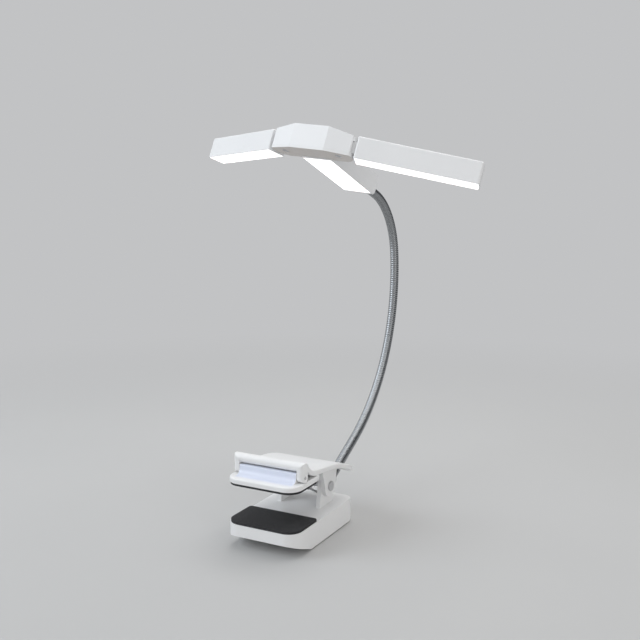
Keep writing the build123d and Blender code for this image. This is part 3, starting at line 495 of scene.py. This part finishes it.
def tubeOf(frames, radiusAt, segments):
    # points and faces of a closed tube; frames are (centre, side, up), radiusAt(ring, turn) gives each radius
    points, faces = [], []
    for ring, (centre, side, up) in enumerate(frames):
        for step in range(segments):
            turn = 2 * math.pi * step / segments
            outward = side * math.cos(turn) + up * math.sin(turn)
            points.append(centre + outward * radiusAt(ring, step / segments))
    for ring in range(len(frames) - 1):
        faces += wallBetween(ring * segments, segments)
    faces.append(tuple(reversed(range(segments))))
    faces.append(tuple(range((len(frames) - 1) * segments, len(frames) * segments)))
    return points, faces


# bendable hose, round wire wound tight, with the lead inside it; both run in the plane x = 0
# each run is a length and 0 where it is straight, or a radius and the degrees that it turns
hoseSpec = {"rootY": 0.078, "rootZ": -0.0004, "lean": 27.5, "seat": 0.012, "radius": 0.0035, "pitch": 0.0016,
            "groove": 0.00028, "grooveShape": 2.4, "ringsPerTurn": 8, "segments": 28, "collar": 0.009,
            "bendReach": 0.125, "runs": [(0.0527, 0.0), (0.139, 69.3), (0.059, 63.4), (0.0274, 0.0)]}
leadSpec = {"radius": 0.0015, "tail": 0.008414, "headEnd": 0.00275, "step": 0.002, "segments": 14}


def hoseFrames(spec, step, tail=0.0, headEnd=0.0):  # rings at even steps, from inside the boss to the head
    heading = math.radians(spec["lean"])
    back = spec["seat"] + tail
    y = spec["rootY"] - back * math.cos(heading)
    z = spec["rootZ"] - back * math.sin(heading)
    frames, walked, target, slack = [], 0.0, 0.0, 1e-9  # the slack keeps rounding from dropping a ring
    lastRun = (spec["runs"][-1][0] + headEnd, 0.0)
    for size, turn in [(back, 0.0)] + spec["runs"][:-1] + [lastRun]:
        length = math.radians(turn) * size if turn else size
        while target <= walked + length + slack:
            ahead = target - walked
            angle = heading + (ahead / size if turn else 0.0)
            if turn:
                cy = y + size * (math.sin(angle) - math.sin(heading))
                cz = z - size * (math.cos(angle) - math.cos(heading))
            else:
                cy, cz = y + ahead * math.cos(heading), z + ahead * math.sin(heading)
            up = Vector((0, -math.sin(angle), math.cos(angle)))
            frames.append((Vector((0, cy, cz)), Vector((1, 0, 0)), up))
            target += step
        if turn:
            bent = heading + math.radians(turn)
            y += size * (math.sin(bent) - math.sin(heading))
            z -= size * (math.cos(bent) - math.cos(heading))
            heading = bent
        else:
            y += length * math.cos(heading)
            z += length * math.sin(heading)
        walked += length
    return frames


def bendPiece(name, frames, first, bodies, stretch, radiusAt, segments, finish, slotName):
    # one half of a hose or lead: a tube along the given frames, baked into place
    tube = tubeOf(frames, lambda ring, turn: radiusAt(first + ring, turn), segments)
    piece = newPiece(name, *tube, finish)
    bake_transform(piece)
    return piece


def makeHose(spec, lead):
    step = spec["pitch"] / spec["ringsPerTurn"]
    frames = hoseFrames(spec, step)
    clear, middle = round(spec["bendReach"] / step), len(frames) // 2
    low = round((spec["seat"] + spec["collar"]) / step)
    high = len(frames) - 1 - round(spec["collar"] / step)
    lowStretch = (frames[low][0], frames[low + clear][0])
    highStretch = (frames[high - clear][0], frames[high][0])

    def woundAt(ring, turn):
        phase = (ring / spec["ringsPerTurn"] + turn) % 1.0 - 0.5
        return spec["radius"] - spec["groove"] * abs(2 * phase) ** spec["grooveShape"]

    shared = (woundAt, spec["segments"], "hoseSteel", "chrome_hose")
    lower = bendPiece("hoseLower", frames[:middle + 1], 0, ("neck_foot", "neck"), lowStretch, *shared)
    bendPiece("hoseUpper", frames[middle:], middle, ("neck", "neck_top"), highStretch, *shared)
    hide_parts("gooseneck")

    frames = hoseFrames(spec, lead["step"], lead["tail"], lead["headEnd"])
    middle = len(frames) // 2
    shared = (lambda ring, turn: lead["radius"], lead["segments"], "leadRubber", "black_sheath")
    lower = bendPiece("leadLower", frames[:middle + 1], 0, ("neck_foot", "neck"), lowStretch, *shared)
    bendPiece("leadUpper", frames[middle:], middle, ("neck", "neck_top"), highStretch, *shared)
    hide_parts("lead")


makeHose(hoseSpec, leadSpec)
print("hose and lead wound")

# torsion spring on the pivot pin: the leg at -x presses the lever, the leg at +x the housing
springSpec = {"pivotY": 0.046, "pivotZ": 0.0125, "radius": 0.0046, "wire": 0.00075, "startAngle": 100.1573,
              "endAngle": 1680.60599, "span": 0.0114144, "pitch": 0.0026, "leg": 0.015, "stepsPerTurn": 40,
              "legSteps": 6, "segments": 14, "endShare": 0.88}


def makeSpring(spec):
    rise = spec["pitch"] / (2 * math.pi * spec["radius"])
    sweep = spec["endAngle"] - spec["startAngle"]
    count = round(sweep / 360 * spec["stepsPerTurn"])
    frames = []
    for index in range(-spec["legSteps"], count + spec["legSteps"] + 1):
        share = min(max(index / count, 0.0), 1.0)
        angle = math.radians(spec["startAngle"] + sweep * share)
        outward = Vector((0, math.cos(angle), math.sin(angle)))
        along = Vector((rise, -math.sin(angle), math.cos(angle))).normalized()
        axis = Vector((spec["span"] * (share - 0.5), spec["pivotY"], spec["pivotZ"]))
        beyond = min(index, 0) + max(index - count, 0)
        centre = axis + outward * spec["radius"] + along * (spec["leg"] * beyond / spec["legSteps"])
        frames.append((centre, outward, along.cross(outward)))
    cutEnds = (0, len(frames) - 1)

    def wireAt(ring, turn):
        return spec["wire"] * (spec["endShare"] if ring in cutEnds else 1.0)

    piece = newPiece("torsionSpring", *tubeOf(frames, wireAt, spec["segments"]), "springSteel")
    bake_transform(piece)
    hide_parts("torsion_spring")


makeSpring(springSpec)
print("spring coiled")

# screws with a cross recess; each stands on its head's outer face and points the way it is driven
coverScrewSpec = {"spots": [(x, y, -0.0186) for x in (-0.021, 0.021) for y in (0.013, 0.064)],
                  "driven": (0, 0, 1), "side": (1, 0, 0), "head": 0.0018, "headHeight": 0.001, "shank": 0.0009,
                  "length": 0.007, "recess": 0.00055, "armHalf": 0.00028, "armReach": 0.00105}
# the hub's own axes in the shared frame, as the CAD leans them
headAxes = {"origin": (-0.00076814, 0.0490507, 0.244757), "x": (0.99396, -0.03717, -0.10325),
            "y": (0.0, 0.94088, -0.33874), "up": (0.10973, 0.33669, 0.93520)}


def onHead(x, y, z):
    place = Vector(headAxes["origin"])
    for amount, axis in ((x, "x"), (y, "y"), (z, "up")):
        place += Vector(headAxes[axis]) * amount
    return place


hingeScrewSpec = {"spots": [onHead(x, 0.0092, 0.0004) for x in (-0.0212, 0.0212)], "driven": headAxes["up"],
                  "side": headAxes["x"], "head": 0.0023, "headHeight": 0.0007, "shank": 0.0015,
                  "length": 0.0126, "recess": 0.0005, "armHalf": 0.00034, "armReach": 0.0013}
screwForm = {"rings": 18, "segments": 56, "rim": 0.1, "tipStarts": 0.4, "tip": 0.6, "recessWall": 0.00016,
             "wallShift": 0.35, "sharpOver": 38.0}


def makeScrews(name, spec, body, replaced):
    rings, segments = screwForm["rings"], screwForm["segments"]
    driven, side = Vector(spec["driven"]).normalized(), Vector(spec["side"]).normalized()
    up = driven.cross(side)

    def recessAt(x, y):  # depth of the cross at a place on the head
        inside = max(min(spec["armHalf"] - abs(x), spec["armReach"] - abs(y)),
                     min(spec["armHalf"] - abs(y), spec["armReach"] - abs(x)))
        share = min(max(inside / screwForm["recessWall"] + screwForm["wallShift"], 0.0), 1.0)
        return spec["recess"] * share * share * (3 - 2 * share)

    edge = spec["head"] * screwForm["rim"]
    profile = [(spec["head"], edge), (spec["head"], spec["headHeight"]), (spec["shank"], spec["headHeight"]),
               (spec["shank"], spec["length"] - spec["shank"] * screwForm["tipStarts"]),
               (spec["shank"] * screwForm["tip"], spec["length"])]
    points, faces = [], []
    for spot in spec["spots"]:
        first = len(points)
        points.append(Vector(spot) + driven * recessAt(0.0, 0.0))
        loops = [((spec["head"] - edge) * ring / rings, None) for ring in range(1, rings + 1)] + profile
        for radius, depth in loops:
            for step in range(segments):
                turn = 2 * math.pi * step / segments
                x, y = radius * math.cos(turn), radius * math.sin(turn)
                sunk = recessAt(x, y) if depth is None else depth
                points.append(Vector(spot) + side * x + up * y + driven * sunk)
        for step in range(segments):
            faces.append((first, first + 1 + (step + 1) % segments, first + 1 + step))
        for ring in range(len(loops) - 1):
            faces += wallBetween(first + 1 + ring * segments, segments)
        low = first + 1 + (len(loops) - 1) * segments
        faces.append(tuple(range(low, low + segments)))
    piece = newPiece(name, points, faces, "pinSteel")
    markSharp(piece, screwForm["sharpOver"])
    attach(piece, body)
    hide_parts(replaced)


makeScrews("coverScrewHeads", coverScrewSpec, "base", "cover_screws")
makeScrews("hingeScrewHeads", hingeScrewSpec, "head", "hinge_screws")
print("screws cut")

# soft studio: pale floor just under the lowest point, which fades into the backdrop
floorLook = {"half": 6.0, "gap": 0.0003, "colour": (0.52, 0.52, 0.518, 1),
             "cloudColour": (0.535, 0.534, 0.53, 1), "cloud": 9.0, "rough": 0.8, "specular": 0.2,
             "fadeFrom": 0.3, "fadeTo": 0.85}
studio = {"backdrop": (0.54, 0.545, 0.554, 1), "light": (1.0, 1.0, 1.0, 1), "level": 0.44,
          "brightSide": (-0.80, -0.42, 0.43), "dimUpTo": -0.35, "brightFrom": 0.6,
          "brightCard": (0.85, 0.87, 0.9, 1), "dimCard": (0.12, 0.123, 0.13, 1)}


def makeFloor(look, backdrop):
    half = look["half"]
    points = [(-half, -half, 0), (half, -half, 0), (half, half, 0), (-half, half, 0)]
    mesh = bpy.data.meshes.new("studioFloor")
    mesh.from_pydata(points, [], [(0, 1, 2, 3)])
    floor = bpy.data.objects.new("studioFloor", mesh)
    floor.location = (0, 0, cadLow.z - look["gap"])
    bpy.context.scene.collection.objects.link(floor)
    material, tree, shader = newMaterial("floorPaper")
    place = addNode(tree, "TexCoord").outputs["Object"]
    cloud = noiseOf(tree, place, look["cloud"], 3.0)
    feed(tree, shader.inputs["Base Color"], blendColour(tree, cloud, look["colour"], look["cloudColour"]))
    feed(tree, shader.inputs["Roughness"], look["rough"])
    feed(tree, shader.inputs["Specular IOR Level"], look["specular"])
    haze = addNode(tree, "Emission")
    feed(tree, haze.inputs["Color"], backdrop)
    distance = addNode(tree, "VectorMath", operation="LENGTH")
    feed(tree, distance.inputs[0], place)
    far = addNode(tree, "MapRange", interpolation_type="SMOOTHSTEP")
    feed(tree, far.inputs["Value"], distance.outputs["Value"])
    feed(tree, far.inputs["From Min"], look["fadeFrom"])
    feed(tree, far.inputs["From Max"], look["fadeTo"])
    fade = addNode(tree, "MixShader")
    feed(tree, fade.inputs[0], far.outputs[0])
    feed(tree, fade.inputs[1], shader.outputs[0])
    feed(tree, fade.inputs[2], haze.outputs[0])
    feed(tree, tree.nodes["Material Output"].inputs["Surface"], fade.outputs[0])
    mesh.materials.append(material)


# one large light from the window side, a fill from the right and one from above
lamps = {"windowLight": {"place": (-1.2, -0.9, 0.95), "size": 1.1, "power": 14.5, "colour": (0.86, 0.93, 1.0)},
         "roomFill": {"place": (1.3, -0.7, 0.6), "size": 1.1, "power": 4.6, "colour": (1.0, 0.985, 0.965)},
         "topLight": {"place": (0.05, 0.35, 1.0), "size": 0.9, "power": 5.4, "colour": (1.0, 1.0, 1.0)}}


def makeLamp(name, spec, aim):
    data = bpy.data.lights.new(name, "AREA")
    data.shape, data.size, data.energy, data.color = "SQUARE", spec["size"], spec["power"], spec["colour"]
    lamp = bpy.data.objects.new(name, data)
    lamp.location = spec["place"]
    lamp.rotation_euler = (aim - Vector(spec["place"])).to_track_quat("-Z", "Y").to_euler()
    bpy.context.scene.collection.objects.link(lamp)


def makeWorld(look):  # even light, the backdrop where the camera sees it, and two cards in what mirrors it
    world = bpy.data.worlds.new("studioWorld")
    world.use_nodes = True
    tree = world.node_tree
    ground = tree.nodes["Background"]
    rays = addNode(tree, "LightPath")
    seen = calc(tree, "MAXIMUM", rays.outputs["Is Camera Ray"], rays.outputs["Is Glossy Ray"])
    seen = calc(tree, "MAXIMUM", seen, rays.outputs["Is Transmission Ray"])
    side = addNode(tree, "VectorMath", operation="DOT_PRODUCT")
    feed(tree, side.inputs[0], addNode(tree, "TexCoord").outputs["Generated"])
    feed(tree, side.inputs[1], look["brightSide"])
    bright = rescale(tree, side.outputs["Value"], look["dimUpTo"], look["brightFrom"], 0.0, 1.0)
    mirrored = blendColour(tree, bright, look["dimCard"], look["brightCard"])
    plain = blendColour(tree, seen, look["light"], look["backdrop"])
    feed(tree, ground.inputs["Color"], blendColour(tree, rays.outputs["Is Glossy Ray"], plain, mirrored))
    feed(tree, ground.inputs["Strength"], rescale(tree, seen, 0.0, 1.0, look["level"], 1.0))
    bpy.context.scene.world = world


makeFloor(floorLook, studio["backdrop"])
makeWorld(studio)
for name, spec in lamps.items():
    makeLamp(name, spec, (cadLow + cadHigh) / 2)

# the camera that the photograph was matched with
viewpoint = {"place": (0.30355, -0.49817, 0.22696), "forward": (-0.46652, 0.87058, -0.15634), "lens": 51.44,
             "sensor": 36.0, "near": 0.01, "far": 20.0}
lensData = bpy.data.cameras.new("photoView")
lensData.lens, lensData.sensor_width = viewpoint["lens"], viewpoint["sensor"]
lensData.clip_start, lensData.clip_end = viewpoint["near"], viewpoint["far"]
camera = bpy.data.objects.new("photoView", lensData)
camera.location = viewpoint["place"]
camera.rotation_euler = Vector(viewpoint["forward"]).to_track_quat("-Z", "Y").to_euler()
bpy.context.scene.collection.objects.link(camera)
bpy.context.scene.camera = camera
bpy.context.scene.view_settings.view_transform = "Standard"
